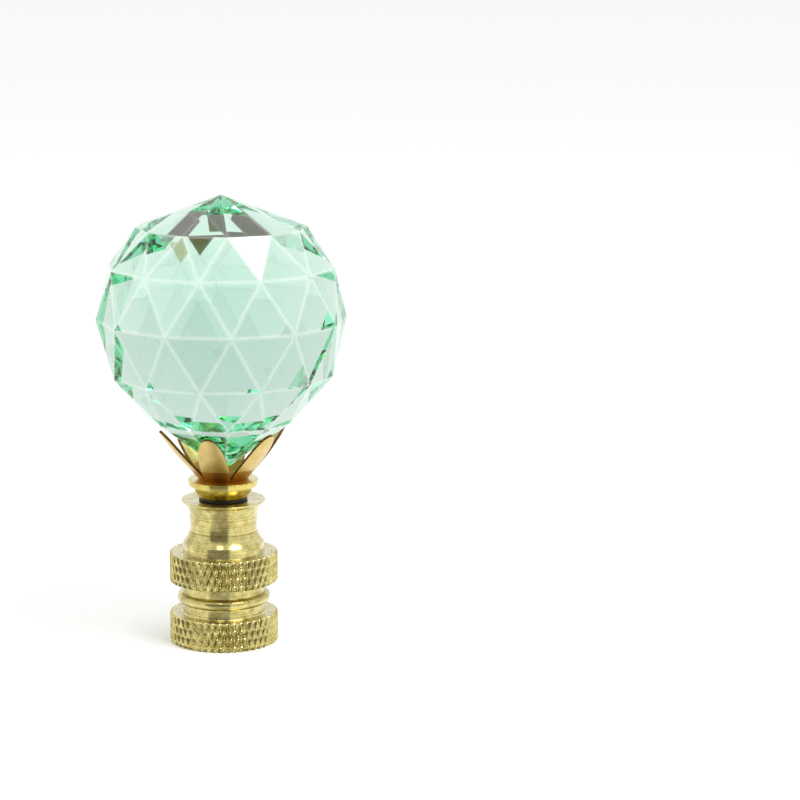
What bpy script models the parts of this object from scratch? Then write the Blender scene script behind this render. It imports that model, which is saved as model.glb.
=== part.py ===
"""Lamp shade finial: a faceted glass ball in a stamped six-petal cup, on a small turned
collar, a black washer and a turned and knurled brass base with a blind hole for the stud.

Metres, +Z up. The origin is the centre of the base's underside, on which the finial stands.
"""

import math

import bmesh
import bpy
from mathutils import Vector

MM = 0.001

# Glass ball: facets between rings of corners on a sphere, closed by a low crown above. Below,
# steeper facets run down into the cup and end in a small flat
BALL_RADIUS = 15.0 * MM
BALL_SIDES = 12
# Latitude of each ring in degrees, top to bottom; every second ring is turned by half a facet
BALL_RING_LATITUDES = (47.3, 24.7, 0.0, -26.3, -53.0)
BALL_TURN = math.radians(4.0)
BALL_CROWN_HEIGHT = 14.8 * MM
BALL_FLAT_DEPTH = 17.37 * MM
BALL_FLAT_RADIUS = 3.2 * MM

# Petal cup: one stamped sheet with a flat foot, a shallow bowl and six petals
SHEET_THICKNESS = 0.35 * MM
CUP_FOOT_RADIUS = 2.45 * MM
CUP_NOTCH_RADIUS = 3.0 * MM
CUP_NOTCH_HEIGHT = 0.62 * MM
CUP_CREASE_RADIUS = 3.85 * MM
CUP_CREASE_HEIGHT = 1.6 * MM
PETAL_COUNT = 6
PETAL_TIP_RADIUS = 8.7 * MM
PETAL_WIDTH = 3.4 * MM
PETAL_BELLY = 0.15 * MM
PETAL_CUPPING = 0.25 * MM
PETAL_TURN = math.radians(-13.4)

# Collar: a straight rim over a tapering skirt
COLLAR_RIM_RADIUS = 4.24 * MM
COLLAR_RIM_HEIGHT = 0.7 * MM
COLLAR_SKIRT_TOP_RADIUS = 3.75 * MM
COLLAR_SKIRT_RADIUS = 2.84 * MM
COLLAR_SKIRT_HEIGHT = 1.16 * MM
COLLAR_SKIRT_SWELL = 0.12 * MM

# Washer
WASHER_RADIUS = 2.92 * MM
WASHER_THICKNESS = 0.32 * MM

# Base, from the underside up
KNURL_RADIUS = 6.55 * MM
KNURL_DEPTH = 0.3 * MM
KNURL_HEIGHT = 3.55 * MM
KNURL_PITCH = 0.86 * MM
KNURL_ROW_PITCH = 0.98 * MM
KNURL_CHAMFER = 0.15 * MM
CORE_RADIUS = 5.0 * MM
LOWER_LAND_HEIGHT = 1.24 * MM
BEAD_HEIGHT = 1.36 * MM
BEAD_PROUD = 0.68 * MM
UPPER_LAND_HEIGHT = 1.35 * MM
SHOULDER_HEIGHT = 1.3 * MM
NECK_FOOT_RADIUS = 4.93 * MM
NECK_WAIST_RADIUS = 4.09 * MM
NECK_LOWER_HEIGHT = 2.1 * MM
NECK_UPPER_HEIGHT = 2.86 * MM
LIP_RADIUS = 5.09 * MM
LIP_EDGE = 0.22 * MM
SEAT_RADIUS = 3.2 * MM
SEAT_DEPTH = 0.28 * MM

# Blind hole for the lamp harp's threaded stud
BORE_RADIUS = 3.2 * MM
BORE_DEPTH = 9.5 * MM
BORE_MOUTH_CHAMFER = 0.4 * MM
DRILL_POINT_ANGLE = math.radians(118.0)

# Space between pieces that touch in the real finial
CONTACT_GAP = 0.3 * MM

TURNED_STEPS = 52
ARC_STEPS = 6
SHARP_ANGLE = math.radians(32.0)


def clear_scene():
    for old in list(bpy.data.objects):
        bpy.data.objects.remove(old, do_unlink=True)


def new_collection(name):
    collection = bpy.data.collections.new(name)
    bpy.context.scene.collection.children.link(collection)
    return collection


def new_material(name, colour, roughness, metallic, transmission=0.0):
    material = bpy.data.materials.new(name)
    material.use_nodes = True
    shader = material.node_tree.nodes["Principled BSDF"]
    shader.inputs["Base Color"].default_value = (*colour, 1.0)
    shader.inputs["Roughness"].default_value = roughness
    shader.inputs["Metallic"].default_value = metallic
    shader.inputs["Transmission Weight"].default_value = transmission
    return material


def add_object(name, form, collection, material=None):
    """Turns a bmesh into a named object in its collection."""
    mesh = bpy.data.meshes.new(name)
    form.to_mesh(mesh)
    form.free()
    if material:
        mesh.materials.append(material)
    piece = bpy.data.objects.new(name, mesh)
    collection.objects.link(piece)
    return piece


def add_turned(name, profile, collection, material):
    """A solid of revolution: the profile runs down the outer side, from axis to axis."""
    form = bmesh.new()
    points = [form.verts.new((radius, 0.0, height)) for radius, height in profile]
    for upper, lower in zip(points, points[1:]):
        form.edges.new((upper, lower))
    piece = add_object(name, form, collection, material)
    screw = piece.modifiers.new("Turn", "SCREW")
    screw.axis = "Z"
    screw.angle = math.tau
    screw.steps = TURNED_STEPS
    screw.render_steps = TURNED_STEPS
    screw.use_merge_vertices = True
    screw.merge_threshold = 0.001 * MM
    return piece


def settle(piece):
    """Applies the piece's modifiers and shades its round faces smooth between sharp edges."""
    bpy.context.view_layer.update()
    evaluated = piece.evaluated_get(bpy.context.evaluated_depsgraph_get())
    finished = bpy.data.meshes.new_from_object(evaluated)
    piece.modifiers.clear()
    piece.data = finished
    finished.shade_smooth()
    finished.set_sharp_from_angle(angle=SHARP_ANGLE)


def at_angle(radius, angle, height):
    """A point at an angle measured from the front, which is -Y, towards +X."""
    return Vector((radius * math.sin(angle), -radius * math.cos(angle), height))


def ball_rings():
    """Radius and height over the ball's centre of each ring of corners, top to bottom."""
    latitudes = [math.radians(value) for value in BALL_RING_LATITUDES]
    return [(BALL_RADIUS * math.cos(a), BALL_RADIUS * math.sin(a)) for a in latitudes]


def ball_underside(radius):
    """Height over the ball's centre of its lower outline at this distance from the axis."""
    lower = [ring for ring in ball_rings() if ring[1] <= 0.0]
    lower.append((BALL_FLAT_RADIUS, -BALL_FLAT_DEPTH))
    for (outer, high), (inner, low) in zip(lower, lower[1:]):
        if inner <= radius <= outer:
            return low + (high - low) * (radius - inner) / (outer - inner)
    return -BALL_FLAT_DEPTH


def lowest_slope():
    """How steeply the ball's lowest facets rise from its flat."""
    outer, high = ball_rings()[-1]
    return (high + BALL_FLAT_DEPTH) / (outer - BALL_FLAT_RADIUS)


def under_lowest_facets():
    """How far straight below the lowest facets the outer face of the sheet lies."""
    return (CONTACT_GAP + SHEET_THICKNESS) * math.hypot(1.0, lowest_slope())


def ball_flat_height():
    """Height over the cup's foot of the ball's flat, where its facets just clear the crease."""
    run = CUP_CREASE_RADIUS - BALL_FLAT_RADIUS
    return CUP_CREASE_HEIGHT + under_lowest_facets() - lowest_slope() * run


def heights():
    """Where each piece starts, from the underside up."""
    top = {}
    top["lower_land"] = KNURL_HEIGHT
    top["bead"] = top["lower_land"] + LOWER_LAND_HEIGHT
    top["upper_land"] = top["bead"] + BEAD_HEIGHT
    top["upper_knurl"] = top["upper_land"] + UPPER_LAND_HEIGHT
    top["shoulder"] = top["upper_knurl"] + KNURL_HEIGHT
    top["neck"] = top["shoulder"] + SHOULDER_HEIGHT
    top["waist"] = top["neck"] + NECK_LOWER_HEIGHT
    top["lip"] = top["waist"] + NECK_UPPER_HEIGHT
    top["base_top"] = top["lip"] + LIP_EDGE
    top["washer"] = top["base_top"] - SEAT_DEPTH + CONTACT_GAP
    top["collar"] = top["washer"] + WASHER_THICKNESS + CONTACT_GAP
    top["collar_rim"] = top["collar"] + COLLAR_SKIRT_HEIGHT
    top["cup"] = top["collar_rim"] + COLLAR_RIM_HEIGHT + CONTACT_GAP
    top["ball"] = top["cup"] + ball_flat_height() + BALL_FLAT_DEPTH
    return top


def make_ball(level, collection, material):
    form = bmesh.new()
    for index, (radius, height) in enumerate(ball_rings()):
        half_turn = (index % 2) * math.pi / BALL_SIDES
        for side in range(BALL_SIDES):
            angle = BALL_TURN + half_turn + side * math.tau / BALL_SIDES
            form.verts.new(at_angle(radius, angle, height))
    # The flat's corners lie below those of the last ring
    for side in range(BALL_SIDES):
        angle = BALL_TURN + half_turn + side * math.tau / BALL_SIDES
        form.verts.new(at_angle(BALL_FLAT_RADIUS, angle, -BALL_FLAT_DEPTH))
    form.verts.new((0.0, 0.0, BALL_CROWN_HEIGHT))
    bmesh.ops.convex_hull(form, input=form.verts)
    bmesh.ops.recalc_face_normals(form, faces=form.faces)
    ball = add_object("glass_ball", form, collection, material)
    ball.location.z = level
    return ball


def petal_tip_height(top):
    """Height over the cup's foot at which a petal's tip just clears the ball."""
    touching = top["ball"] + ball_underside(PETAL_TIP_RADIUS) - top["cup"]
    return touching - under_lowest_facets()


def petal_point(middle, tip_height, share, across):
    """The sheet's outer face: share runs from the crease to the tip, across is in metres."""
    reach = PETAL_TIP_RADIUS - CUP_CREASE_RADIUS
    rise = tip_height - CUP_CREASE_HEIGHT
    length = math.hypot(reach, rise)
    outwards = PETAL_BELLY * math.sin(math.pi * share)
    outwards -= PETAL_CUPPING * share * (2.0 * across / PETAL_WIDTH) ** 2
    radius = CUP_CREASE_RADIUS + share * reach + outwards * rise / length
    height = CUP_CREASE_HEIGHT + share * rise - outwards * reach / length
    return at_angle(radius, middle + across / radius, height)


def make_petal_cup(top, collection, material):
    """The sheet's outer face, thickened inwards. Each petal is half an ellipse past its crease."""
    columns = 6
    around = PETAL_COUNT * columns
    sector = math.tau / PETAL_COUNT
    tip_height = petal_tip_height(top)
    form = bmesh.new()
    centre = form.verts.new((0.0, 0.0, 0.0))
    rings = []
    for radius, height in ((CUP_FOOT_RADIUS, 0.0), (CUP_NOTCH_RADIUS, CUP_NOTCH_HEIGHT)):
        angles = [PETAL_TURN + (index / columns - 0.5) * sector for index in range(around)]
        rings.append([form.verts.new(at_angle(radius, angle, height)) for angle in angles])
    foot, notches = rings
    for index in range(around):
        following = (index + 1) % around
        form.faces.new((centre, foot[following], foot[index]))
        form.faces.new((foot[index], foot[following], notches[following], notches[index]))
    for petal in range(PETAL_COUNT):
        middle = PETAL_TURN + petal * sector
        row = [notches[(petal * columns + k) % around] for k in range(columns + 1)]
        for step in range(ARC_STEPS + 1):
            up = step / ARC_STEPS
            above = []
            for k in range(columns + 1):
                side = 2.0 * k / columns - 1.0
                # A square grid drawn onto half a disc, so that the tip has no crowded corner
                share = up * math.sqrt(1.0 - 0.5 * side**2)
                across = 0.5 * PETAL_WIDTH * side * math.sqrt(1.0 - 0.5 * up**2)
                above.append(form.verts.new(petal_point(middle, tip_height, share, across)))
            for a, b, c, d in zip(row, row[1:], above[1:], above):
                form.faces.new((a, b, c, d))
            row = above
    bmesh.ops.recalc_face_normals(form, faces=form.faces)
    cup = add_object("petal_cup", form, collection, material)
    cup.location.z = top["cup"]
    sheet = cup.modifiers.new("Sheet", "SOLIDIFY")
    sheet.thickness = SHEET_THICKNESS
    sheet.offset = -1.0
    sheet.use_even_offset = True
    settle(cup)
    return cup


def make_collar(level, collection, material):
    profile = [(0.0, COLLAR_SKIRT_HEIGHT + COLLAR_RIM_HEIGHT)]
    profile.append((COLLAR_RIM_RADIUS, COLLAR_SKIRT_HEIGHT + COLLAR_RIM_HEIGHT))
    profile.append((COLLAR_RIM_RADIUS, COLLAR_SKIRT_HEIGHT))
    for step in range(ARC_STEPS + 1):
        share = step / ARC_STEPS
        taper = COLLAR_SKIRT_TOP_RADIUS + share * (COLLAR_SKIRT_RADIUS - COLLAR_SKIRT_TOP_RADIUS)
        swell = COLLAR_SKIRT_SWELL * math.sin(math.pi * share)
        profile.append((taper + swell, COLLAR_SKIRT_HEIGHT * (1.0 - share)))
    profile.append((0.0, 0.0))
    collar = add_turned("collar", profile, collection, material)
    collar.location.z = level
    settle(collar)
    return collar


def make_washer(level, collection, material):
    profile = [
        (0.0, WASHER_THICKNESS),
        (WASHER_RADIUS, WASHER_THICKNESS),
        (WASHER_RADIUS, 0.0),
        (0.0, 0.0),
    ]
    washer = add_turned("washer", profile, collection, material)
    washer.location.z = level
    settle(washer)
    return washer


def core_profile(top):
    """The turned body without its knurls, from the top's centre to the hole's end."""
    profile = [(0.0, top["base_top"] - SEAT_DEPTH), (SEAT_RADIUS, top["base_top"] - SEAT_DEPTH)]
    profile.append((LIP_RADIUS, top["base_top"]))
    flare = LIP_RADIUS - NECK_WAIST_RADIUS
    for step in range(ARC_STEPS + 1):
        share = math.cos(0.5 * math.pi * step / ARC_STEPS)
        radius = NECK_WAIST_RADIUS + flare * (1.0 - math.sqrt(1.0 - share**2))
        profile.append((radius, top["waist"] + NECK_UPPER_HEIGHT * share))
    spread = NECK_FOOT_RADIUS - NECK_WAIST_RADIUS
    sweep = (NECK_LOWER_HEIGHT**2 + spread**2) / (2.0 * spread)
    for step in range(1, ARC_STEPS + 1):
        down = NECK_LOWER_HEIGHT * step / ARC_STEPS
        radius = NECK_WAIST_RADIUS + sweep - math.sqrt(sweep**2 - down**2)
        profile.append((radius, top["waist"] - down))
    profile.append((NECK_FOOT_RADIUS, top["upper_knurl"] + 0.5 * KNURL_HEIGHT))
    profile.append((CORE_RADIUS, top["upper_knurl"] + 0.5 * KNURL_HEIGHT))
    for step in range(ARC_STEPS + 1):
        turn = math.pi * step / ARC_STEPS
        radius = CORE_RADIUS + BEAD_PROUD * math.sin(turn)
        profile.append((radius, top["bead"] + 0.5 * BEAD_HEIGHT * (1.0 + math.cos(turn))))
    profile.append((CORE_RADIUS, 0.0))
    profile.append((BORE_RADIUS + BORE_MOUTH_CHAMFER, 0.0))
    profile.append((BORE_RADIUS, BORE_MOUTH_CHAMFER))
    profile.append((BORE_RADIUS, BORE_DEPTH))
    profile.append((0.0, BORE_DEPTH + BORE_RADIUS / math.tan(0.5 * DRILL_POINT_ANGLE)))
    return profile


def make_knurl(name, level, cutters):
    """A ring of diamond points: crests and groove crossings alternate round and up the band."""
    columns = 2 * round(math.tau * KNURL_RADIUS / KNURL_PITCH)
    root = KNURL_RADIUS - KNURL_DEPTH
    inner = 0.5 * (CORE_RADIUS + BORE_RADIUS)
    form = bmesh.new()
    rows = [[form.verts.new(at_angle(inner, k * math.tau / columns, 0.0)) for k in range(columns)]]
    tall = KNURL_HEIGHT - 2.0 * KNURL_CHAMFER
    steps = max(1, round(tall / KNURL_ROW_PITCH))
    rim = root - KNURL_CHAMFER
    rows.append([form.verts.new(at_angle(rim, k * math.tau / columns, 0.0)) for k in range(columns)])
    for row in range(steps + 1):
        height = KNURL_CHAMFER + tall * row / steps
        ring = []
        for k in range(columns):
            radius = KNURL_RADIUS if (k + row) % 2 else root
            ring.append(form.verts.new(at_angle(radius, k * math.tau / columns, height)))
        rows.append(ring)
    for radius in (rim, inner):
        ring = [at_angle(radius, k * math.tau / columns, KNURL_HEIGHT) for k in range(columns)]
        rows.append([form.verts.new(place) for place in ring])
    rows.append(rows[0])
    for lower, upper in zip(rows, rows[1:]):
        for k in range(columns):
            a, b = lower[k], lower[(k + 1) % columns]
            c, d = upper[(k + 1) % columns], upper[k]
            crest_at_a = a.co.xy.length > b.co.xy.length or c.co.xy.length > d.co.xy.length
            if crest_at_a:
                form.faces.new((a, b, d))
                form.faces.new((b, c, d))
            else:
                form.faces.new((a, b, c))
                form.faces.new((a, c, d))
    bmesh.ops.recalc_face_normals(form, faces=form.faces)
    knurl = add_object(name, form, cutters)
    knurl.location.z = level
    knurl.hide_render = True
    knurl.display_type = "WIRE"
    return knurl


def make_base(top, collection, cutters, material):
    base = add_turned("base", core_profile(top), collection, material)
    for name, level in (("lower_knurl", 0.0), ("upper_knurl", top["upper_knurl"])):
        knurl = make_knurl(name, level, cutters)
        join = base.modifiers.new("Join " + name, "BOOLEAN")
        join.operation = "UNION"
        join.solver = "EXACT"
        join.object = knurl
    settle(base)
    return base


def main():
    clear_scene()
    collection = new_collection("lamp_finial")
    cutters = new_collection("knurl_rings")
    top = heights()
    glass = new_material("green_tinted_glass", (0.62, 0.8, 0.73), 0.02, 0.0, 1.0)
    petals = new_material("stamped_brass", (0.52, 0.36, 0.13), 0.3, 1.0)
    polished = new_material("polished_brass", (0.72, 0.55, 0.2), 0.18, 1.0)
    rubber = new_material("black_rubber", (0.012, 0.012, 0.016), 0.5, 0.0)
    turned = new_material("turned_brass", (0.62, 0.53, 0.25), 0.28, 1.0)
    make_ball(top["ball"], collection, glass)
    make_petal_cup(top, collection, petals)
    make_collar(top["collar"], collection, polished)
    make_washer(top["washer"], collection, rubber)
    make_base(top, collection, cutters, turned)


main()
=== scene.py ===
"""Looks of a lamp shade finial: a faceted glass ball in a brass petal cup on a turned base."""

import math

import bpy
from mathutils import Matrix, Vector


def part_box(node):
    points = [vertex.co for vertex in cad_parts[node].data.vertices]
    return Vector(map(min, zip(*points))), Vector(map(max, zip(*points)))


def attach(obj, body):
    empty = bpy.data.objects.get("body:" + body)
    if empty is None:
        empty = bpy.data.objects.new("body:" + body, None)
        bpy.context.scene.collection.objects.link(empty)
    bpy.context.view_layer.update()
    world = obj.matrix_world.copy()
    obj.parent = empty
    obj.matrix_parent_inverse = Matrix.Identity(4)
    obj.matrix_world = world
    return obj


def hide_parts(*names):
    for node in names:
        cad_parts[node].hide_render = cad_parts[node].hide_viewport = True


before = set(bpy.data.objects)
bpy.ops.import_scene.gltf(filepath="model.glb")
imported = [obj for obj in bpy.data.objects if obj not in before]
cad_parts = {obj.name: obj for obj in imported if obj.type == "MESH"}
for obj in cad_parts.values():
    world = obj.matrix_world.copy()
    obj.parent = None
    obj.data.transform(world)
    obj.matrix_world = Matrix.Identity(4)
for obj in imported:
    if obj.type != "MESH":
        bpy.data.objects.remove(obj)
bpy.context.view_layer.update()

# Base: bar brass turned on a lathe to a lip, a waisted neck, a bead and two grips. Each grip is
# knurled by a pair of wheels that press crossing grooves into it. The blind hole from below is
# drilled and tapped for the threaded stud at the top of a lamp harp.
MM = 0.001
BASE_SIDES = 288
BASE_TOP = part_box("base")[1].z / MM
GRIP_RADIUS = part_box("base")[1].x / MM
GRIP_HEIGHT = 3.55
GRIP_FEET = (0.0, 7.5)
KNURLS_ROUND = 48
KNURL_DEPTH = 0.3
KNURL_ROWS = 20
KNURL_REPEAT = 12
KNURL_EDGE = 0.08
CORE_RADIUS = 5.0
SHOULDER_RADIUS = 4.93
BEAD_MIDDLE = 5.47
BEAD_RADIUS = 0.68
FILLET = 0.18
WAIST_RADIUS = 4.09
WAIST_HEIGHT = 14.45
NECK_FOOT_HEIGHT = 12.35
NECK_STEPS = (14, 10)
SHOULDER_ROUND = 0.06
LIP_RADIUS = 5.09
LIP_EDGE = 0.2
LIP_ROUND = 0.07
LIP_UNDER_ROUND = 0.05
SEAT_RADIUS = 3.05
SEAT_HEIGHT = 17.47
STUD_RADIUS = 3.2
THREAD_PITCH = 25.4 / 27.0
THREAD_DEPTH = 0.5
THREAD_RINGS = 6
HOLE_DEPTH = 9.5
HOLE_CHAMFER = 0.4
DRILL_POINT = 1.9


def select_only(piece):
    """Makes one object the only selected and the active one, in object mode."""
    if bpy.context.object and bpy.context.object.mode != "OBJECT":
        bpy.ops.object.mode_set(mode="OBJECT")
    bpy.ops.object.select_all(action="DESELECT")
    piece.select_set(True)
    bpy.context.view_layer.objects.active = piece


def arc(middle_radius, middle_height, radius, start, end, steps):
    """Points of an outline along a round, from one angle to another in degrees."""
    angles = [math.radians(start + (end - start) * step / steps) for step in range(steps + 1)]
    return [(middle_radius + radius * math.cos(a), middle_height + radius * math.sin(a)) for a in angles]


def turn(name, outline, sides, twisted=(), point=False):
    """Turns a piece: a disc is drawn out ring by ring along the outline, in millimetres.
    Rings in twisted are turned on by half a side, and point closes the end at its middle."""
    select_only(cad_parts["base"])
    first_radius, height = outline[0]
    bpy.ops.mesh.primitive_circle_add(vertices=sides, radius=first_radius * MM, fill_type="NGON")
    piece = bpy.context.object
    piece.name = name
    piece.data.name = name
    bpy.ops.object.mode_set(mode="EDIT")
    bpy.ops.transform.translate(value=(0.0, 0.0, height * MM))
    bpy.ops.mesh.select_mode(type="EDGE")
    bpy.ops.mesh.select_all(action="DESELECT")
    bpy.ops.mesh.select_non_manifold()
    for ring, ((last, low), (radius, high)) in enumerate(zip(outline, outline[1:]), 1):
        rise = {"value": (0.0, 0.0, (high - low) * MM)}
        bpy.ops.mesh.extrude_edges_move(TRANSFORM_OT_translate=rise)
        middle = (0.0, 0.0, high * MM)
        grow = radius / last
        bpy.ops.transform.resize(value=(grow, grow, 1.0), center_override=middle)
        if ring in twisted:
            half_side = math.pi / sides
            bpy.ops.transform.rotate(value=half_side, orient_axis="Z", center_override=middle)
    if point:
        bpy.ops.mesh.merge(type="COLLAPSE")
    else:
        bpy.ops.mesh.edge_face_add()
    bpy.ops.mesh.select_all(action="SELECT")
    bpy.ops.mesh.normals_make_consistent(inside=False)
    bpy.ops.object.mode_set(mode="OBJECT")
    return piece


def grip_outline(foot, radius_below, radius_above):
    """One knurled grip, from its upper face down. Returns it with the rings to twist."""
    root = GRIP_RADIUS - KNURL_DEPTH
    high = foot + GRIP_HEIGHT
    outline = [(radius_above, high), (root - KNURL_EDGE, high), (GRIP_RADIUS - KNURL_EDGE, high)]
    tall = GRIP_HEIGHT - 2.0 * KNURL_EDGE
    first_row = len(outline)
    for row in range(KNURL_ROWS + 1):
        outline.append((GRIP_RADIUS, high - KNURL_EDGE - tall * row / KNURL_ROWS))
    outline.append((GRIP_RADIUS - KNURL_EDGE, foot))
    outline.append((root - KNURL_EDGE, foot))
    outline.append((radius_below, foot))
    return outline, range(first_row + 1, first_row + KNURL_ROWS + 1)


def knurl_share(angle, row):
    """How deep a point lies in its pit: 0 on a ridge between pits and 1 at a pit's bottom."""
    along = KNURLS_ROUND * angle / math.tau
    shares = []
    for place in (along + row / KNURL_REPEAT, along - row / KNURL_REPEAT):
        from_ridge = 2.0 * abs(place - round(place))
        shares.append(math.sin(0.5 * math.pi * from_ridge))
    return min(shares)


# The seat for the washer, the lip that rises a little round it, and the neck below the lip
outline = [(1.5, SEAT_HEIGHT), (SEAT_RADIUS, SEAT_HEIGHT), (SEAT_RADIUS + 0.1, SEAT_HEIGHT + 0.02)]
outline += [(4.0, BASE_TOP - 0.03), (4.9, BASE_TOP - 0.005)]
outline += arc(LIP_RADIUS - LIP_ROUND, BASE_TOP - LIP_ROUND, LIP_ROUND, 90, 0, 3)
lip_foot = BASE_TOP - LIP_EDGE
outline += arc(LIP_RADIUS - LIP_UNDER_ROUND, lip_foot + LIP_UNDER_ROUND, LIP_UNDER_ROUND, 0, -90, 3)
flare = LIP_RADIUS - 0.06 - WAIST_RADIUS
neck_upper = BASE_TOP - LIP_EDGE - WAIST_HEIGHT
upper_steps, lower_steps = NECK_STEPS
for step in range(1, upper_steps + 1):
    share = math.cos(0.5 * math.pi * step / upper_steps)
    radius = WAIST_RADIUS + flare * (1.0 - math.sqrt(1.0 - share**2))
    outline.append((radius, WAIST_HEIGHT + neck_upper * share))
spread = SHOULDER_RADIUS - 0.03 - WAIST_RADIUS
neck_lower = WAIST_HEIGHT - NECK_FOOT_HEIGHT
sweep = (neck_lower**2 + spread**2) / (2.0 * spread)
for step in range(1, lower_steps + 1):
    down = neck_lower * step / lower_steps
    outline.append((WAIST_RADIUS + sweep - math.sqrt(sweep**2 - down**2), WAIST_HEIGHT - down))
outline += arc(SHOULDER_RADIUS - SHOULDER_ROUND, NECK_FOOT_HEIGHT - 0.09, SHOULDER_ROUND, 60, 0, 3)

# The two grips with their fillets, and the bead between them
knurl_rings = {}
twisted = set()
for foot in reversed(GRIP_FEET):
    high = foot + GRIP_HEIGHT
    above = SHOULDER_RADIUS if foot else CORE_RADIUS
    outline += arc(above + FILLET, high + FILLET, FILLET, 180, 270, 4)
    below = CORE_RADIUS if foot else STUD_RADIUS + HOLE_CHAMFER
    grip, turned_on = grip_outline(foot, below, above + FILLET + 0.05)
    start = len(outline)
    for row in range(-1, KNURL_ROWS + 2):
        knurl_rings[start + 3 + row] = (row, foot)
    twisted |= {start + ring for ring in turned_on}
    outline += grip
    if foot:
        outline += arc(CORE_RADIUS, BEAD_MIDDLE, BEAD_RADIUS, 90, -90, 16)

# The tapped hole, up to the drill's point
hole_start = len(outline)
outline.append((STUD_RADIUS, HOLE_CHAMFER))
rings = int((HOLE_DEPTH - HOLE_CHAMFER) / THREAD_PITCH * THREAD_RINGS)
for ring in range(1, rings + 1):
    outline.append((STUD_RADIUS, HOLE_CHAMFER + ring * THREAD_PITCH / THREAD_RINGS))
outline.append((STUD_RADIUS - THREAD_DEPTH, HOLE_DEPTH))
outline.append((0.05, HOLE_DEPTH + DRILL_POINT))
base = turn("turned_base", outline, BASE_SIDES, twisted, point=True)

# The wheels press the diamonds in, and the tap cuts its thread: both move single points in or out
for vertex in base.data.vertices:
    ring = vertex.index // BASE_SIDES
    angle = math.atan2(vertex.co.x, -vertex.co.y)
    radius = vertex.co.xy.length / MM
    if ring in knurl_rings:
        row, foot = knurl_rings[ring]
        edge = KNURL_EDGE if row in (-1, KNURL_ROWS + 1) else 0.0
        row = min(max(row, 0), KNURL_ROWS)
        radius = GRIP_RADIUS - edge - KNURL_DEPTH * knurl_share(angle, row)
    elif hole_start < ring <= hole_start + rings:
        turns = vertex.co.z / MM / THREAD_PITCH - angle / math.tau
        ridge = 1.0 - 2.0 * abs(turns % 1.0 - 0.5)
        fade = min(1.0, (ring - hole_start) / THREAD_RINGS)
        radius = STUD_RADIUS - THREAD_DEPTH * fade * min(1.0, 1.25 * ridge)
    place = Vector((math.sin(angle), -math.cos(angle))) * radius * MM
    vertex.co.x, vertex.co.y = place

select_only(base)
bpy.ops.object.mode_set(mode="EDIT")
bpy.ops.mesh.select_all(action="SELECT")
bpy.ops.mesh.quads_convert_to_tris(quad_method="SHORTEST_DIAGONAL", ngon_method="BEAUTY")
bpy.ops.mesh.normals_make_consistent(inside=False)
bpy.ops.object.mode_set(mode="OBJECT")
bpy.ops.object.shade_smooth_by_angle(angle=math.radians(32.0))


def linear(code):
    """A colour written as six sRGB hex digits, as linear red, green, blue and alpha."""
    shares = [int(code[place:place + 2], 16) / 255.0 for place in (0, 2, 4)]
    shares = [((s + 0.055) / 1.055) ** 2.4 if s > 0.04045 else s / 12.92 for s in shares]
    return (*shares, 1.0)


def add_node(tree, kind, links=None, **settings):
    """Adds a node. Links name an input and the socket that feeds it. A setting that begins with
    an input's name, its spaces written as underscores, sets that input, and any other the node."""
    node = tree.nodes.new(kind)
    for name, value in settings.items():
        if hasattr(node, name):
            setattr(node, name, value)
        else:
            node.inputs[name.replace("_", " ")].default_value = value
    for name, socket in (links or {}).items():
        tree.links.new(socket, node.inputs[name])
    return node


def new_material(name):
    """An empty node material with its Principled shader and the Object coordinates."""
    material = bpy.data.materials.new(name)
    material.use_nodes = True
    tree = material.node_tree
    shader = tree.nodes["Principled BSDF"]
    place = add_node(tree, "ShaderNodeTexCoord").outputs["Object"]
    return material, tree, shader, place


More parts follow.
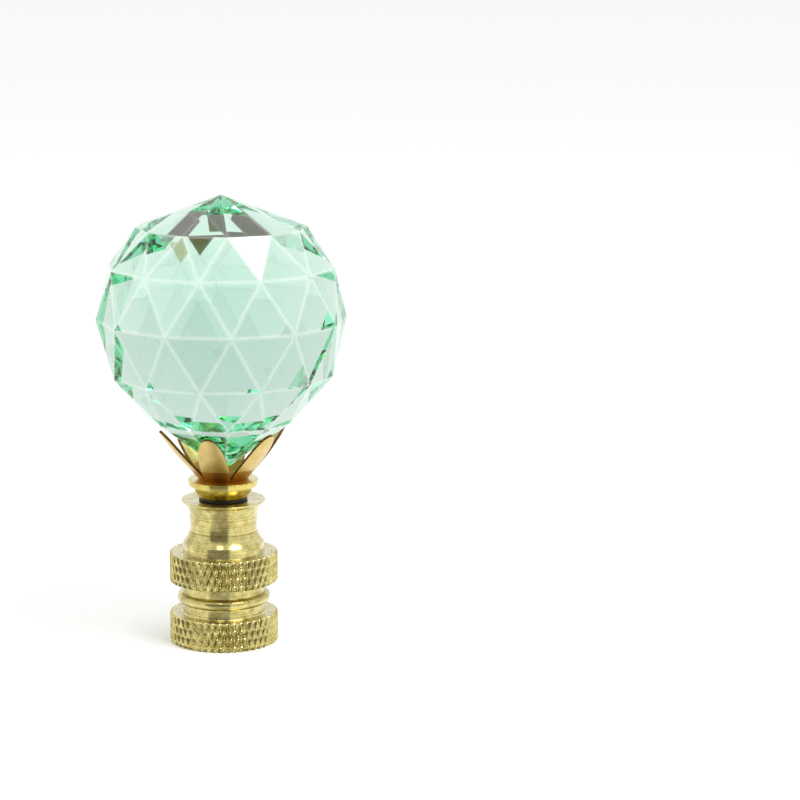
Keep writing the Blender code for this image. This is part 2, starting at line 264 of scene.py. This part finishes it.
def turned_brass(name, bright, deep, roughness, ring_depth, speck_share):
    """Free-cutting brass as it leaves the lathe: bright, greenish yellow, with the fine rings of
    the tool round it, slow changes of tone, and a few brown specks where it has begun to tarnish."""
    material, tree, shader, place = new_material(name)
    flat = add_node(tree, "ShaderNodeVectorMath", {0: place}, operation="MULTIPLY")
    flat.inputs[1].default_value = (1.0, 1.0, 0.0)
    from_axis = add_node(tree, "ShaderNodeVectorMath", {0: flat.outputs[0]}, operation="LENGTH")
    height = add_node(tree, "ShaderNodeSeparateXYZ", {0: place}).outputs["Z"]
    across = add_node(
        tree, "ShaderNodeMath", {0: from_axis.outputs["Value"], 1: height}, operation="ADD"
    )
    # The tool's rings stand 0.1 mm apart, and are drawn at 0.2 mm so that they show
    rings = add_node(
        tree, "ShaderNodeTexNoise", {"W": across.outputs[0]}, noise_dimensions="1D",
        Scale=5000.0, Detail=3.0, Roughness=0.65,
    )
    # Tone drifts over about 1 mm, in blots that the tool's rings break up into lines
    tone = add_node(tree, "ShaderNodeTexNoise", {"Vector": place}, Scale=900.0, Detail=6.0, Roughness=0.65)
    lined = add_node(
        tree, "ShaderNodeMath", {0: rings.outputs["Fac"], 2: tone.outputs["Fac"]}, operation="MULTIPLY_ADD"
    )
    lined.inputs[1].default_value = 0.7
    spread = add_node(
        tree, "ShaderNodeMapRange", {"Value": lined.outputs[0]}, From_Min=0.62, From_Max=1.08
    )
    # Specks of tarnish, about 0.15 mm across
    speck = add_node(tree, "ShaderNodeTexNoise", {"Vector": place}, Scale=5200.0, Detail=1.0)
    speck_edge = add_node(
        tree, "ShaderNodeMapRange", {"Value": speck.outputs["Fac"]},
        From_Min=0.73 - speck_share, From_Max=0.78 - speck_share,
    )
    blend = add_node(
        tree, "ShaderNodeMix", {"Factor": spread.outputs[0]}, data_type="RGBA",
    )
    blend.inputs[6].default_value = linear(bright)
    blend.inputs[7].default_value = linear(deep)
    stained = add_node(tree, "ShaderNodeMix", {0: speck_edge.outputs[0]}, data_type="RGBA")
    tree.links.new(blend.outputs[2], stained.inputs[6])
    stained.inputs[7].default_value = linear("6B5426")
    tree.links.new(stained.outputs[2], shader.inputs["Base Color"])
    gloss = add_node(
        tree, "ShaderNodeMapRange", {"Value": spread.outputs[0]},
        To_Min=roughness * 0.7, To_Max=roughness * 1.5,
    )
    tree.links.new(gloss.outputs[0], shader.inputs["Roughness"])
    relief = add_node(
        tree, "ShaderNodeBump", {"Height": rings.outputs["Fac"]}, Strength=1.0, Distance=ring_depth * MM
    )
    tree.links.new(relief.outputs[0], shader.inputs["Normal"])
    # The rings spread light up and down, and much less to the sides
    shader.inputs["Anisotropic"].default_value = 0.75
    shader.inputs["Anisotropic Rotation"].default_value = 0.25
    # A thin clear lacquer, which whitens what is seen at a low angle
    shader.inputs["Coat Weight"].default_value = 0.7
    shader.inputs["Coat Roughness"].default_value = 0.12
    shader.inputs["Metallic"].default_value = 1.0
    return material


base.data.materials.append(turned_brass("turned_brass", "E6DA90", "94843A", 0.19, 0.009, 0.045))
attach(base, "root")
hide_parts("base")

# Washer: a thin ring punched from black rubber, gripped between the base and the collar so that
# the collar doesn't work loose. Only its rounded rim shows.
WASHER_SIDES = 96
WASHER_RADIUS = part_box("washer")[1].x / MM
WASHER_FOOT = SEAT_HEIGHT + 0.01
WASHER_TOP = 17.78
WASHER_ROUND = 0.13

outline = [(1.0, WASHER_TOP)]
outline += arc(WASHER_RADIUS - WASHER_ROUND, WASHER_TOP - WASHER_ROUND, WASHER_ROUND, 90, 0, 5)
outline += arc(WASHER_RADIUS - WASHER_ROUND, WASHER_FOOT + WASHER_ROUND, WASHER_ROUND, 0, -90, 5)
outline.append((1.0, WASHER_FOOT))
washer = turn("rubber_washer", outline, WASHER_SIDES)
bpy.ops.object.shade_smooth_by_angle(angle=math.radians(40.0))

# Black rubber: a dull blue-black with a soft sheen, and a faint grain from the sheet it came from
rubber, tree, shader, place = new_material("black_rubber")
grain = add_node(tree, "ShaderNodeTexNoise", {"Vector": place}, Scale=6000.0, Detail=3.0)
tint = add_node(tree, "ShaderNodeMix", {0: grain.outputs["Fac"]}, data_type="RGBA")
tint.inputs[6].default_value = linear("17171B")
tint.inputs[7].default_value = linear("2A2A30")
tree.links.new(tint.outputs[2], shader.inputs["Base Color"])
relief = add_node(tree, "ShaderNodeBump", {"Height": grain.outputs["Fac"]}, Strength=0.6, Distance=0.01 * MM)
tree.links.new(relief.outputs[0], shader.inputs["Normal"])
shader.inputs["Roughness"].default_value = 0.42
shader.inputs["Specular IOR Level"].default_value = 0.4
washer.data.materials.append(rubber)
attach(washer, "root")
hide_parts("washer")

# Collar: a small check ring turned from brass, with a straight rim over a swelling skirt. It is
# polished, so it mirrors the lip below it, and the cup above stands on its flat face.
COLLAR_SIDES = 144
COLLAR_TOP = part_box("collar")[1].z / MM
RIM_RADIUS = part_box("collar")[1].x / MM
RIM_HEIGHT = 0.72
RIM_ROUND = 0.07
SKIRT_RADIUS = 2.84
SKIRT_TOP_RADIUS = 3.75
SKIRT_SWELL = 0.13
SKIRT_STEPS = 12

outline = [(1.5, COLLAR_TOP)]
outline += arc(RIM_RADIUS - RIM_ROUND, COLLAR_TOP - RIM_ROUND, RIM_ROUND, 90, 0, 4)
outline += arc(RIM_RADIUS - RIM_ROUND, COLLAR_TOP - RIM_HEIGHT + RIM_ROUND, RIM_ROUND, 0, -90, 4)
skirt_top = COLLAR_TOP - RIM_HEIGHT
for step in range(SKIRT_STEPS + 1):
    share = step / SKIRT_STEPS
    radius = SKIRT_TOP_RADIUS + share * (SKIRT_RADIUS - SKIRT_TOP_RADIUS)
    radius += SKIRT_SWELL * math.sin(math.pi * share)
    outline.append((radius, skirt_top + share * (WASHER_TOP + 0.01 - skirt_top)))
outline.append((1.5, WASHER_TOP + 0.01))
collar = turn("turned_collar", outline, COLLAR_SIDES)
bpy.ops.object.shade_smooth_by_angle(angle=math.radians(32.0))
collar.data.materials.append(turned_brass("polished_brass", "DCCC72", "BCA448", 0.15, 0.003, -0.02))
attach(collar, "root")
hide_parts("collar")

# Petal cup: brass sheet stamped to a flat foot, a shallow bowl and six petals, then drawn up
# round the ball's foot. The sheared edge of the sheet shows as a thin brown rim round each petal.
PETALS = 6
PETAL_TURN = math.radians(-13.4)
SHEET = 0.35
SHEET_EDGE = 0.09
CUP_FOOT = COLLAR_TOP + 0.02
CUP_FOOT_RADIUS = 2.45
NOTCH_RADIUS = 3.0
NOTCH_HEIGHT = 0.62
CREASE_RADIUS = 3.85
CREASE_HEIGHT = 1.6
TIP_RADIUS = 7.65
TIP_HEIGHT = 6.4
TIP_FULLNESS = 2.25
PETAL_WIDTH = 3.4
PETAL_BELLY = 0.15
PETAL_CUPPING = 0.25
PETAL_COLUMNS = 16
PETAL_ROWS = 20
CREASE_ROWS = 4


def petal_point(share, across):
    """A point of the sheet's outer face on the front petal, in millimetres. Share runs from the
    crease at 0 to the tip at 1, and across is the way to the side."""
    reach = TIP_RADIUS - CREASE_RADIUS
    rise = TIP_HEIGHT - CREASE_HEIGHT
    length = math.hypot(reach, rise)
    outwards = PETAL_BELLY * math.sin(math.pi * share)
    outwards -= PETAL_CUPPING * share * (2.0 * across / PETAL_WIDTH) ** 2
    radius = CREASE_RADIUS + share * reach + outwards * rise / length
    height = CREASE_HEIGHT + share * rise - outwards * reach / length
    angle = across / radius
    return Vector((radius * math.sin(angle), -radius * math.cos(angle), height))


bowl_sides = PETALS * PETAL_COLUMNS
outline = [(0.6, 0.0), (CUP_FOOT_RADIUS - 0.1, 0.0)]
outline += [(CUP_FOOT_RADIUS + 0.08, 0.05), (CUP_FOOT_RADIUS + 0.2, 0.18), (NOTCH_RADIUS, NOTCH_HEIGHT)]
select_only(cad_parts["base"])
bpy.ops.mesh.primitive_circle_add(vertices=bowl_sides, radius=outline[0][0] * MM, fill_type="TRIFAN")
cup = bpy.context.object
cup.name = "stamped_petal_cup"
cup.data.name = cup.name
bpy.ops.object.mode_set(mode="EDIT")
bpy.ops.mesh.select_mode(type="EDGE")
bpy.ops.mesh.select_all(action="DESELECT")
bpy.ops.mesh.select_non_manifold()
for (last, low), (radius, high) in zip(outline, outline[1:]):
    rise = {"value": (0.0, 0.0, (high - low) * MM)}
    bpy.ops.mesh.extrude_edges_move(TRANSFORM_OT_translate=rise)
    middle = (0.0, 0.0, high * MM)
    bpy.ops.transform.resize(value=(radius / last, radius / last, 1.0), center_override=middle)
bpy.ops.object.mode_set(mode="OBJECT")
cup.data.transform(Matrix.Rotation(PETAL_TURN - math.pi / PETALS, 4, "Z"))

bpy.ops.object.select_all(action="DESELECT")
bpy.ops.mesh.primitive_grid_add(
    x_subdivisions=PETAL_COLUMNS, y_subdivisions=PETAL_ROWS + CREASE_ROWS, size=2.0
)
petal = bpy.context.object
for vertex in petal.data.vertices:
    side = vertex.co.x
    row = round((vertex.co.y + 1.0) / 2.0 * (PETAL_ROWS + CREASE_ROWS))
    # The lowest rows run from the bowl's edge to the crease, and the rest fill a long round tip:
    # a square grid drawn onto half a disc, so that it has no crowded corner, and then made fuller
    up = max(0, row - CREASE_ROWS) / PETAL_ROWS
    share = up * math.sqrt(1.0 - 0.5 * side**2)
    across = side * math.sqrt(1.0 - 0.5 * up**2)
    from_middle = math.hypot(share, across)
    if from_middle > 0.0:
        powers = share**TIP_FULLNESS + abs(across) ** TIP_FULLNESS
        fuller = from_middle * powers ** (-1.0 / TIP_FULLNESS)
        share, across = share * fuller, across * fuller
    spot = petal_point(share, 0.5 * PETAL_WIDTH * across)
    if row < CREASE_ROWS:
        angle = side * math.pi / PETALS
        edge = Vector((NOTCH_RADIUS * math.sin(angle), -NOTCH_RADIUS * math.cos(angle), NOTCH_HEIGHT))
        spot = edge.lerp(spot, row / CREASE_ROWS)
    vertex.co = spot * MM
petals = [petal]
for number in range(1, PETALS):
    copy = petal.copy()
    copy.data = petal.data.copy()
    copy.data.transform(Matrix.Rotation(number * math.tau / PETALS, 4, "Z"))
    bpy.context.collection.objects.link(copy)
    petals.append(copy)
select_only(cup)
for petal in petals:
    petal.data.transform(Matrix.Rotation(PETAL_TURN, 4, "Z"))
    petal.select_set(True)
bpy.ops.object.join()
cup.data.transform(Matrix.Translation((0.0, 0.0, CUP_FOOT * MM)))
bpy.ops.object.mode_set(mode="EDIT")
bpy.ops.mesh.select_all(action="SELECT")
bpy.ops.mesh.remove_doubles(threshold=0.02 * MM)
bpy.ops.mesh.normals_make_consistent(inside=False)
bpy.ops.object.mode_set(mode="OBJECT")

# Stamped brass: redder and duller than the turned brass, with fine drawing lines along each
# petal's slope, clouded where it was handled
stamped, tree, shader, place = new_material("stamped_brass")
cloud = add_node(tree, "ShaderNodeTexNoise", {"Vector": place}, Scale=600.0, Detail=5.0, Roughness=0.6)
tint = add_node(tree, "ShaderNodeMix", {0: cloud.outputs["Fac"]}, data_type="RGBA")
tint.inputs[6].default_value = linear("E8D290")
tint.inputs[7].default_value = linear("BE9F5A")
# Below the crease the bowl is painted darker and redder: painted shade, where the deep bowl mirrors the dark
# in front of it
height = add_node(tree, "ShaderNodeSeparateXYZ", {0: place}).outputs["Z"]
above_crease = add_node(
    tree, "ShaderNodeMapRange", {"Value": height},
    From_Min=(CUP_FOOT + CREASE_HEIGHT - 0.12) * MM, From_Max=(CUP_FOOT + CREASE_HEIGHT + 0.03) * MM,
)
painted_bowl_shade = add_node(tree, "ShaderNodeMix", {0: above_crease.outputs[0]}, data_type="RGBA")
painted_bowl_shade.inputs[6].default_value = linear("B98A45")
tree.links.new(tint.outputs[2], painted_bowl_shade.inputs[7])
tree.links.new(painted_bowl_shade.outputs[2], shader.inputs["Base Color"])
# Rolling lines of the sheet, drawn 0.15 mm apart
stretch = add_node(tree, "ShaderNodeMapping", {"Vector": place}, vector_type="POINT")
stretch.inputs["Scale"].default_value = (1.0, 1.0, 0.2)
lines = add_node(tree, "ShaderNodeTexNoise", {"Vector": stretch.outputs[0]}, Scale=6500.0, Detail=2.0)
relief = add_node(tree, "ShaderNodeBump", {"Height": lines.outputs["Fac"]}, Strength=1.0, Distance=0.003 * MM)
tree.links.new(relief.outputs[0], shader.inputs["Normal"])
gloss = add_node(tree, "ShaderNodeMapRange", {"Value": cloud.outputs["Fac"]}, To_Min=0.22, To_Max=0.42)
tree.links.new(gloss.outputs[0], shader.inputs["Roughness"])
shader.inputs["Metallic"].default_value = 1.0

# The sheared edge of the same sheet: brown with old lacquer and tarnish
sheared, tree, shader, place = new_material("tarnished_sheared_edge")
spots = add_node(tree, "ShaderNodeTexNoise", {"Vector": place}, Scale=1500.0, Detail=3.0)
tint = add_node(tree, "ShaderNodeMix", {0: spots.outputs["Fac"]}, data_type="RGBA")
tint.inputs[6].default_value = linear("A07A3C")
tint.inputs[7].default_value = linear("4A3416")
tree.links.new(tint.outputs[2], shader.inputs["Base Color"])
shader.inputs["Roughness"].default_value = 0.4
shader.inputs["Metallic"].default_value = 1.0
cup.data.materials.append(stamped)
cup.data.materials.append(sheared)
sheet = cup.modifiers.new("Sheet", "SOLIDIFY")
sheet.thickness = SHEET * MM
sheet.offset = -1.0
sheet.use_even_offset = True
sheet.material_offset_rim = 1
edge = cup.modifiers.new("Edge", "BEVEL")
edge.width = SHEET_EDGE * MM
edge.segments = 2
edge.material = 1
edge.limit_method = "ANGLE"
edge.angle_limit = math.radians(50.0)
for modifier in ("Sheet", "Edge"):
    bpy.ops.object.modifier_apply(modifier=modifier)
bpy.ops.object.shade_smooth_by_angle(angle=math.radians(40.0))
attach(cup, "root")
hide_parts("petal_cup")

# Ball: a gob of pale green glass, pressed and then ground flat facet by facet on a wheel and
# polished. Rows of facets run between rings of corners, and the last row goes down into the cup.
BALL_SIDES = 12
BALL_RADIUS = 15.0
BALL_TURN = math.radians(4.0)
BALL_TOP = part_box("glass_ball")[1].z / MM
CROWN_HEIGHT = 14.8
BALL_MIDDLE = BALL_TOP - CROWN_HEIGHT
RING_LATITUDES = (47.3, 24.7, 0.0, -26.3, -54.0)
FLAT_RADIUS = 0.8
FLAT_DEPTH = 18.0
# Each strip of painted highlight beside the arrises: its width, its width on the crown, and how much it
# covers
ARRIS_HIGHLIGHTS = ((0.3, 0.1, 0.05), (0.15, 0.05, 0.08))
ARRIS_HIGHLIGHT_LIFT = 0.0002


def ball_corner(ring, side):
    """A corner of the ball: rings count from the top, and every second one is turned half a side."""
    latitude = math.radians(RING_LATITUDES[ring])
    angle = BALL_TURN + (side + 0.5 * (ring % 2)) * math.tau / BALL_SIDES
    radius = BALL_RADIUS * math.cos(latitude)
    height = BALL_MIDDLE + BALL_RADIUS * math.sin(latitude)
    return Vector((radius * math.sin(angle), -radius * math.cos(angle), height)) * MM


def flat_corner(side):
    """A corner of the small flat on the ball's underside, below one of the last ring's."""
    above = ball_corner(last_ring, side)
    shrink = FLAT_RADIUS * MM / above.xy.length
    return Vector((above.x * shrink, above.y * shrink, (BALL_MIDDLE - FLAT_DEPTH) * MM))


crown = Vector((0.0, 0.0, BALL_TOP * MM))
middle = Vector((0.0, 0.0, BALL_MIDDLE * MM))
last_ring = len(RING_LATITUDES) - 1
facets = [tuple(flat_corner(side) for side in (0, 4, 8))]
for side in range(BALL_SIDES):
    facets.append((crown, ball_corner(0, side), ball_corner(0, side + 1)))
    facets.append((flat_corner(side), ball_corner(last_ring, side), ball_corner(last_ring, side + 1)))
    for ring in range(last_ring):
        shift = ring % 2
        here = [ball_corner(ring, side + k) for k in (0, 1)]
        under = [ball_corner(ring + 1, side + shift + k) for k in (0, -1)]
        facets.append((here[0], here[1], under[0]))
        facets.append((here[0], under[0], under[1]))
bpy.ops.object.select_all(action="DESELECT")
bpy.ops.mesh.primitive_cube_add(size=3.0 * BALL_RADIUS * MM, location=middle)
ball = bpy.context.object
ball.name = "faceted_ball"
ball.data.name = ball.name
bpy.ops.object.transform_apply(location=True, rotation=False, scale=False)
bpy.ops.object.mode_set(mode="EDIT")
for corners in facets:
    away = (corners[1] - corners[0]).cross(corners[2] - corners[0]).normalized()
    if away.dot(corners[0] - middle) < 0.0:
        away.negate()
    bpy.ops.mesh.select_all(action="SELECT")
    bpy.ops.mesh.bisect(
        plane_co=corners[0], plane_no=away, use_fill=True, clear_outer=True, threshold=0.0005 * MM
    )
bpy.ops.mesh.select_all(action="SELECT")
bpy.ops.mesh.remove_doubles(threshold=0.01 * MM)
bpy.ops.mesh.normals_make_consistent(inside=False)
bpy.ops.object.mode_set(mode="OBJECT")


# Pale green glass: clear, with the index of crown glass. Its green is in its depth, under a faint
# rose at the surface, so a straight look through is a pale aqua, and a long way round a deep green
glass, tree, shader, place = new_material("pale_green_glass")
shader.inputs["Base Color"].default_value = linear("FAE2E7")
shader.inputs["Roughness"].default_value = 0.0
shader.inputs["IOR"].default_value = 1.52
shader.inputs["Transmission Weight"].default_value = 1.0
depth = add_node(tree, "ShaderNodeVolumeAbsorption")
depth.inputs["Color"].default_value = (0.0, 0.89, 0.57, 1.0)
depth.inputs["Density"].default_value = 23.5
tree.links.new(depth.outputs[0], tree.nodes["Material Output"].inputs["Volume"])
ball.data.materials.append(glass)

# Painted highlight along the arrises: soft thin strips beside each of them, painted pale white over part of
# the glass
crown_foot = ball_corner(0, 0).z
strips = []
for number, (width, crown_width, cover) in enumerate(ARRIS_HIGHLIGHTS, 1):
    strip = ball.copy()
    strip.data = ball.data.copy()
    bpy.context.collection.objects.link(strip)
    select_only(strip)
    for on_crown, inset in ((False, width), (True, crown_width)):
        for facet in strip.data.polygons:
            facet.select = (facet.center.z > crown_foot) == on_crown
        bpy.ops.object.mode_set(mode="EDIT")
        bpy.ops.mesh.select_mode(type="FACE")
        bpy.ops.mesh.inset(thickness=inset * MM, use_individual=True)
        bpy.ops.mesh.delete(type="FACE")
        bpy.ops.object.mode_set(mode="OBJECT")
    arris_paint, tree, shader, place = new_material("painted_arris_highlight_%d" % number)
    shader.inputs["Base Color"].default_value = linear("F6EEF0")
    shader.inputs["Roughness"].default_value = 0.6
    shader.inputs["Specular IOR Level"].default_value = 0.0
    # The strips also glow a little, a painted light that keeps them pale
    shader.inputs["Emission Color"].default_value = linear("FFE9EE")
    shader.inputs["Emission Strength"].default_value = 0.5
    shader.inputs["Alpha"].default_value = cover
    strip.data.materials.clear()
    strip.data.materials.append(arris_paint)
    strips.append(strip)
# The glass and the wider strip are smaller by a few microns, so that no two faces share a plane
for part, steps in ((ball, 2), (strips[0], 1)):
    shrink = 1.0 - steps * ARRIS_HIGHLIGHT_LIFT
    select_only(part)
    bpy.ops.object.mode_set(mode="EDIT")
    bpy.ops.mesh.select_all(action="SELECT")
    bpy.ops.transform.resize(value=(shrink, shrink, shrink), center_override=middle)
    bpy.ops.object.mode_set(mode="OBJECT")
select_only(ball)
for strip in strips:
    strip.select_set(True)
bpy.ops.object.join()
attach(ball, "root")
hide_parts("glass_ball")

# Floor: a plain pale sweep of matt card, wide enough to fill the view
select_only(base)
bpy.ops.mesh.primitive_circle_add(vertices=96, radius=4.0, fill_type="NGON")
floor = bpy.context.object
floor.name = "floor"
card, tree, shader, place = new_material("white_card")
fibres = add_node(tree, "ShaderNodeTexNoise", {"Vector": place}, Scale=900.0, Detail=3.0)
tint = add_node(tree, "ShaderNodeMix", {0: fibres.outputs["Fac"]}, data_type="RGBA")
tint.inputs[6].default_value = linear("FAFAF9")
tint.inputs[7].default_value = linear("F7F7F6")
tree.links.new(tint.outputs[2], shader.inputs["Base Color"])
shader.inputs["Roughness"].default_value = 0.9
shader.inputs["Specular IOR Level"].default_value = 0.1
floor.data.materials.append(card)

# Light: an even white tent with a dark cloth and sheets of painted shade and painted shadow in it, and two
# soft lamps high in front, the stronger one to the right
world = bpy.data.worlds.new("light_tent")
bpy.context.scene.world = world
world.use_nodes = True
world.node_tree.nodes["Background"].inputs["Color"].default_value = linear("FFFFFF")
world.node_tree.nodes["Background"].inputs["Strength"].default_value = 1.0


def add_cloth_or_painted_shade(name, corners, grey):
    """A flat dark sheet, given by its corners in millimetres: a cloth, or a patch of painted shade or painted
    shadow.
    """
    bpy.ops.object.select_all(action="DESELECT")
    bpy.ops.mesh.primitive_plane_add(size=2.0)
    cloth_or_painted_shade = bpy.context.object
    cloth_or_painted_shade.name = name
    for vertex, corner in zip(cloth_or_painted_shade.data.vertices, corners):
        vertex.co = Vector(corner) * MM
    material, tree, shader, place = new_material(name)
    shader.inputs["Base Color"].default_value = linear(grey)
    shader.inputs["Roughness"].default_value = 1.0
    shader.inputs["Specular IOR Level"].default_value = 0.0
    cloth_or_painted_shade.data.materials.append(material)
    return cloth_or_painted_shade


# The brass and the fronts of the facets mirror a dark cloth round the camera and two sheets of painted shade
# on the floor in front, and the glass sees three sheets of painted shadow on the floor behind it. None casts
# a shadow or is seen directly.
mirrored = [
    ("camera_cloth", ((-466, -450, 0), (126, -450, 0), (-466, -450, 420), (126, -450, 420)), "787878"),
    # The next two are painted shade: the photographer's shadow on the floor in front, seen only in the brass
    # and the facets
    ("painted_shade_far_front", ((-67, -65, 0.1), (18, -65, 0.1), (-466, -450, 0.1), (126, -450, 0.1)), "808080"),
    ("painted_shade_near_front", ((-1, -7, 0.1), (1, -7, 0.1), (-67, -65, 0.1), (18, -65, 0.1)), "B8B8B8"),
]
# Painted shadow of the ball and the brass on the floor behind, tinted by the brass, which only the glass sees
seen_through = [
    ("painted_shadow_behind", ((-11, 40, 0.1), (12, 40, 0.1), (-11, 51, 0.1), (12, 51, 0.1)), "6E5D57"),
    ("painted_shadow_olive", ((4, 52, 0.1), (11, 52, 0.1), (4, 64, 0.1), (11, 64, 0.1)), "675A38"),
    ("painted_shadow_straw", ((12, 53, 0.1), (18, 53, 0.1), (12, 62, 0.1), (18, 62, 0.1)), "CDC6A4"),
]
for name, corners, grey in mirrored + seen_through:
    cloth_or_painted_shade = add_cloth_or_painted_shade(name, corners, grey)
    cloth_or_painted_shade.visible_camera = False
    cloth_or_painted_shade.visible_diffuse = False
    cloth_or_painted_shade.visible_shadow = False
    cloth_or_painted_shade.visible_volume_scatter = False
    if (name, corners, grey) in mirrored:
        cloth_or_painted_shade.visible_transmission = False
    else:
        cloth_or_painted_shade.visible_glossy = False


def add_lamp(name, azimuth, elevation, distance, size, power):
    """A square soft lamp that looks at the ball. Azimuth is from the front towards the right."""
    a, e = math.radians(azimuth), math.radians(elevation)
    aim = Vector((0.0, 0.0, 0.03))
    away = Vector((math.sin(a) * math.cos(e), -math.cos(a) * math.cos(e), math.sin(e)))
    light = bpy.data.lights.new(name, "AREA")
    light.energy = power
    light.size = size
    lamp = bpy.data.objects.new(name, light)
    lamp.location = aim + away * distance
    lamp.rotation_euler = away.to_track_quat("Z", "Y").to_euler()
    bpy.context.scene.collection.objects.link(lamp)


add_lamp("key_lamp", 51.0, 59.0, 0.5, 0.2, 1.2)
add_lamp("fill_lamp", -15.0, 58.0, 0.5, 0.1, 0.2)

# Camera: a short telephoto a little above the ball, 300 mm in front of the axis, which keeps the
# photograph's framing
camera_data = bpy.data.cameras.new("camera")
camera_data.lens = 114.44
camera_data.sensor_width = 36.0
camera_data.clip_end = 20.0
camera = bpy.data.objects.new("camera", camera_data)
yaw, pitch, roll = math.radians(4.07), math.radians(11.25), math.radians(0.36)
ahead = Vector((math.sin(yaw) * math.cos(pitch), math.cos(yaw) * math.cos(pitch), -math.sin(pitch)))
right = Vector((math.cos(yaw), -math.sin(yaw), 0.0))
above = right.cross(ahead)
across = math.cos(roll) * right + math.sin(roll) * above
up = math.cos(roll) * above - math.sin(roll) * right
turned = Matrix((across, up, -ahead)).transposed().to_4x4()
camera.matrix_world = Matrix.Translation((0.0, -0.3, 0.0893)) @ turned
bpy.context.scene.collection.objects.link(camera)
bpy.context.scene.camera = camera

# Light bounces many times inside the facets, and whites are kept as they are
scene = bpy.context.scene
scene.view_settings.view_transform = "Standard"
scene.cycles.max_bounces = 32
scene.cycles.glossy_bounces = 16
scene.cycles.transmission_bounces = 24
